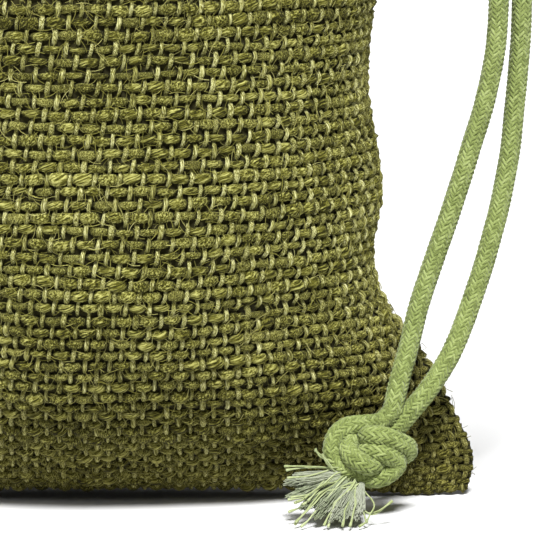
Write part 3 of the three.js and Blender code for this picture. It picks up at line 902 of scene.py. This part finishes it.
def fuzz_tree():
    """Geometry nodes: short bent fibres that stand on a surface, each at its own angle and size."""
    tree, given = new_tree("fuzz", ("Density", "Float"), ("Length", "Float"), ("Radius", "Float"))
    inputs = {"Seed": 11, "Mesh": given["Geometry"], "Density": given["Density"]}
    roots = wired(tree, "GeometryNodeDistributePointsOnFaces", inputs).outputs
    hair = wired(tree, "GeometryNodeCurveQuadraticBezier", {"Resolution": 2, **HAIR}).outputs["Curve"]
    ring = {"Resolution": 3, "Radius": given["Radius"]}
    ring = wired(tree, "GeometryNodeCurvePrimitiveCircle", ring).outputs["Curve"]
    sizes = {0: random_number(tree, 0.45, 1.7, 3), 1: given["Length"]}
    size = wired(tree, "ShaderNodeMath", sizes, operation="MULTIPLY").outputs[0]
    angle = {"Axis": (0, 0, 1), "Angle": random_number(tree, 0, 2 * math.pi, 7)}
    angle = wired(tree, "FunctionNodeAxisAngleToRotation", angle).outputs["Rotation"]
    turn = {"Rotation": roots["Rotation"], "Rotate By": angle}
    turn = wired(tree, "FunctionNodeRotateRotation", turn, rotation_space="LOCAL").outputs["Rotation"]
    points = stored(tree, "tone", roots["Points"], random_number(tree, 0, 1, 0), data_type="FLOAT")
    inputs = {"Points": points, "Instance": swept(tree, hair, ring), "Rotation": turn, "Scale": size}
    hairs = wired(tree, "GeometryNodeInstanceOnPoints", inputs).outputs["Instances"]
    return finish_tree(tree, given, stored(tree, "crown", hairs, 1, data_type="FLOAT", domain="INSTANCE"))


def make_fuzz(name, grid, normal, density, finish):
    """Loose jute fibres over the outside of a stretch of cloth."""
    skin = (grid + normal * FUZZ_HEIGHT)[::STEPS, ::STEPS]
    rows, columns = skin.shape[:2]
    source = mesh_piece(name + " skin", skin, grid_faces(rows, columns)[1])
    face = source.data.polygons[(rows // 2) * (columns - 1) + columns // 2]
    if face.normal.dot(Vector(normal[grid.shape[0] // 2, grid.shape[1] // 2])) < 0:
        source.data.flip_normals()
    piece = grown(source, FUZZ_TREE, name, Density=density, Length=HAIR_LENGTH, Radius=HAIR_RADIUS,
                  Material=finish)
    bpy.data.objects.remove(source)
    return piece


STRAY_FIBRES = 90
STRAY_STRIDE = 1.1             # samples of the cloth between two points of a fibre
STRAY_RADIUS = 0.06 * MM


def stray_fibres(name, grid, normal, rng, finish):
    """A few long pale fibres that lie loosely over the cloth."""
    paths = []
    rows, columns = grid.shape[:2]
    for _ in range(STRAY_FIBRES):
        count = int(rng.uniform(14, 40))
        heading = rng.uniform(0, 2 * math.pi) + 0.6 * np.cumsum(0.35 * wander(count, 6, rng))
        row = rng.uniform(40, rows - 24) + np.cumsum(np.sin(heading)) * STRAY_STRIDE
        column = rng.uniform(10, columns - 10) + np.cumsum(np.cos(heading)) * STRAY_STRIDE
        height = 1.25 + 0.35 * wander(count, 5, rng)
        height[[0, -1]] = 0.6
        paths.append(at(grid, row, column) + at(normal, row, column) * (height * MM)[:, None])
    tones = list(rng.uniform(0.5, 1, len(paths)))
    return strands(name, paths, [STRAY_RADIUS] * len(paths), tones, finish, 3)


# The cloth of each side is made in bands of rows. The hem is the top one: it starts at the row where the
# bag begins to be drawn in level.
BANDS = {"lower": (0, 44), "middle": (44, "hem"), "upper": ("hem", "end")}
YARN_SIDES = {-1: {"lower": 6, "middle": 5, "upper": 5}, 1: {"lower": 4, "middle": 4, "upper": 4}}
FUZZ_BANDS = {"lower": (4, 50), "middle": (50, "hem"), "upper": ("hem", 88)}
# Fibres per square metre on the front and the back.
FUZZ = {-1: {"lower": 460000, "middle": 160000, "upper": 160000},
        1: {"lower": 120000, "middle": 120000, "upper": 120000}}


def make_panel(face, finishes):
    """One side of the bag: a dark sheet of painted shade behind the gaps, warp and weft in bands, fuzz and
    stray fibres.
    """
    label = "front" if face < 0 else "back"
    rng = np.random.default_rng(21 if face < 0 else 22)
    grid, normal = cloth_grid(face)
    heights = grid[:, grid.shape[1] // 2, 2]
    marks = {"hem": int(np.argmax(heights > DRAW_LINE * MM)) // STEPS * STEPS, "end": len(grid)}
    pieces = {"lower": [], "middle": [], "upper": []}
    for kind in ("warp", "weft"):
        made = yarns(grid, normal, rng, kind)
        for band, rows in BANDS.items():
            first, last = (marks.get(row) or row * STEPS for row in rows)
            paths, thickness, tones, crowns = cut(made, first, last, kind == "weft")
            pieces[band].append(strands(f"{label}_{kind}_{band}", paths, thickness, tones, finishes[kind],
                                        YARN_SIDES[face][band], crowns))
    for band, rows in FUZZ_BANDS.items():
        first, last = (marks.get(row) or row * STEPS for row in rows)
        part = slice(first, last + 1)
        pieces[band].append(make_fuzz(f"{label}_fuzz_{band}", grid[part], normal[part], FUZZ[face][band],
                                      finishes["fuzz"]))
    body, hem = slice(0, marks["hem"] + 1), slice(marks["hem"], None)
    pieces["middle"].append(stray_fibres(f"{label}_stray_fibres", grid[body], normal[body], rng,
                                         finishes["fuzz"]))
    shoulders = [f"{part}_{label}_{side}" for part in ("casing", "frill") for side in ("left", "right")]
    # Each stretch gets a dark sheet of painted shade behind its gaps.
    stretches = [
        ("gap_shade", body, pieces["lower"] + pieces["middle"], [f"{label}_panel", "base_fold"]),
        ("hem_gap_shade", hem, pieces["upper"], [f"casing_{label}", f"frill_{label}", *shoulders]),
    ]
    for name, part, on_it, nodes in stretches:
        sheet = gap_shade_sheet(f"{label}_{name}", grid[part], normal[part], finishes["gap_shade"])
        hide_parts(*nodes)
        for piece in on_it:
            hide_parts(nodes[0])
        for piece in [sheet] + on_it:
            drawn_in(piece)
    return grid, normal


# ---- seams and sewing

STITCH_RADIUS = 0.28 * MM
STITCH = (2.4, 0.8)            # length and gap of the seams' stitches, mm
CASING_STITCH = (2.6, 1.4)
CASING_ROWS = {"lower": 158.6, "upper": 174.4}    # heights of the rows of sewing, mm
# The seam allowance of a side below and above the tunnel: heights, points, distance inside the outline.
SIDE_SEAMS = {"seam": (33, 156, 50, 3.6), "hem_seam": (173, 205, 14, 1.6)}
SEAM_WIDTH = 7
BOTTOM_HALF, BOTTOM_HEIGHT, BOTTOM_WIDTH = 53, 3.2, 6


def woven_strip(name, centre, along, across, width, finishes, node):
    """A narrow strip of the same cloth: a seam allowance, with its yarns."""
    steps = max(int(path_length(centre) / (WEFT_PITCH / STEPS)), 8)
    route = resampled(centre, path_length(centre) / steps)
    offsets = np.linspace(0, width, int(width / (WARP_PITCH / STEPS)) + 1)
    grid = route[:, None] + offsets[None, :, None] * np.array(across)
    normal = np.broadcast_to(np.cross(along, across), grid.shape).copy()
    rng = np.random.default_rng(31)
    for kind in ("warp", "weft"):
        paths, thickness, tones, crowns = yarns(grid, normal, rng, kind)
        piece = strands(f"{name}_{kind}", paths, thickness, tones, finishes[kind], 5, crowns)
        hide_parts(node)
        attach(piece, SACK)


def stitches(name, route, length, gap, finish, node, face=None):
    """A running row of sewing: short stitches along a route."""
    fine = resampled(route, PATH_STEP)
    pitch = (length + gap) * MM
    paths = []
    for k in range(int(path_length(route) / pitch)):
        first = int(k * pitch / PATH_STEP)
        last = first + int(length * MM / PATH_STEP) + 1
        if last <= len(fine):
            paths.append(fine[first:last])
    tones = list(np.random.default_rng(41).uniform(0, 1, len(paths)))
    row = strands(name, paths, [STITCH_RADIUS] * len(paths), tones, finish, 6)
    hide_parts(node)
    if face:
        drawn_in(row)
    else:
        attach(row, SACK)


def make_seams(finishes, panels):
    thread = finishes["thread"]
    for side, label in ((-1, "left"), (1, "right")):
        for name, (low, high, count, inside) in SIDE_SEAMS.items():
            heights = np.linspace(low, high, count)
            edge = np.stack([side * (outline(heights, "width") - inside), np.zeros(count), heights], 1) * MM
            woven_strip(f"{label}_{name}_allowance", edge, (0, 0, 1), (-side, 0, 0), SEAM_WIDTH * MM,
                        finishes, f"{label}_side_seam")
            if name == "seam":
                sewing = edge + np.array([-side * 2.2, 1.5, 0]) * MM
        stitches(f"{label}_seam_stitches", sewing, *STITCH, thread, f"{label}_seam_thread")
    x = np.linspace(-BOTTOM_HALF, BOTTOM_HALF, 40)
    foot = np.stack([x, np.zeros(40), np.full(40, BOTTOM_HEIGHT)], 1) * MM
    woven_strip("bottom_seam_allowance", foot, (1, 0, 0), (0, 0, 1), BOTTOM_WIDTH * MM, finishes,
                "bottom_seam")
    stitches("bottom_seam_stitches", foot + np.array([0, 1.5, 0.6]) * MM, *STITCH, thread,
             "bottom_seam_thread")
    for face, (grid, normal) in panels.items():
        label = "front" if face < 0 else "back"
        heights = grid[:, grid.shape[1] // 2, 2]
        inner = np.arange(grid.shape[0]) >= np.argmax(heights)
        for rise, level in CASING_ROWS.items():
            row = int(np.argmin(np.abs(heights - level * MM) + inner))
            line = grid[row, 6:-6] + normal[row, 6:-6] * 1.15 * MM
            stitches(f"{label}_casing_stitches_{rise}", line, *CASING_STITCH, thread,
                     f"stitches_{label}_{rise}", face)


# ---- assembly

make_camera()
make_studio()
STRAND_TREE = strand_tree()
FUZZ_TREE = fuzz_tree()
FINISHES = make_finishes()

runs, knot, ends = make_drawstring(FINISHES)
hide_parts("knot")
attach(knot, PULL)
frays = make_frays(np.random.default_rng(8), ends, FINISHES)
tunnel_cords(FINISHES)
for (cord, centre), node in zip(runs, ("cord_run_front", "cord_run_back")):
    core = cord_core(cord.name + "_core", centre, FINISHES)
    for piece in (cord, core):
        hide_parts(node)
        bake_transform(piece)

PANELS = {face: make_panel(face, FINISHES) for face in (-1, 1)}
make_seams(FINISHES, PANELS)
